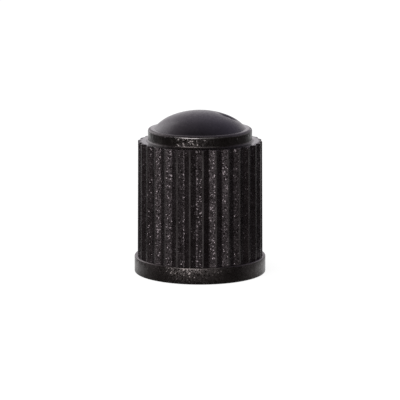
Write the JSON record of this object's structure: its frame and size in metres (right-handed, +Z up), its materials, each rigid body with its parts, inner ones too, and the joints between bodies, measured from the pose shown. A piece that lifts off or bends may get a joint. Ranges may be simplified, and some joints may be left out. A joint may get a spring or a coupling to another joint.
{
  "type": "tyre valve cap",
  "caption": "Black plastic tyre valve cap: serrated round grip with a bottom flange, a stepped collar, a low domed top and a blind bore that screws over the valve stem.",
  "frame": {"origin": "centre of the mouth, on the flat rim that the cap stands on", "axes": "+Z up along the bore's axis, from the mouth to the top of the dome; a ridge of the grip lies on +X"},
  "size_m": [0.0104, 0.0104, 0.013],
  "materials": {
    "black_plastic": "near-black moulded plastic, fine spark-eroded grain on the grip, collar and flange, smoother satin dome"
  },
  "bodies": {
    "root": {"valve_cap": "black_plastic"}
  },
  "joints": []
}
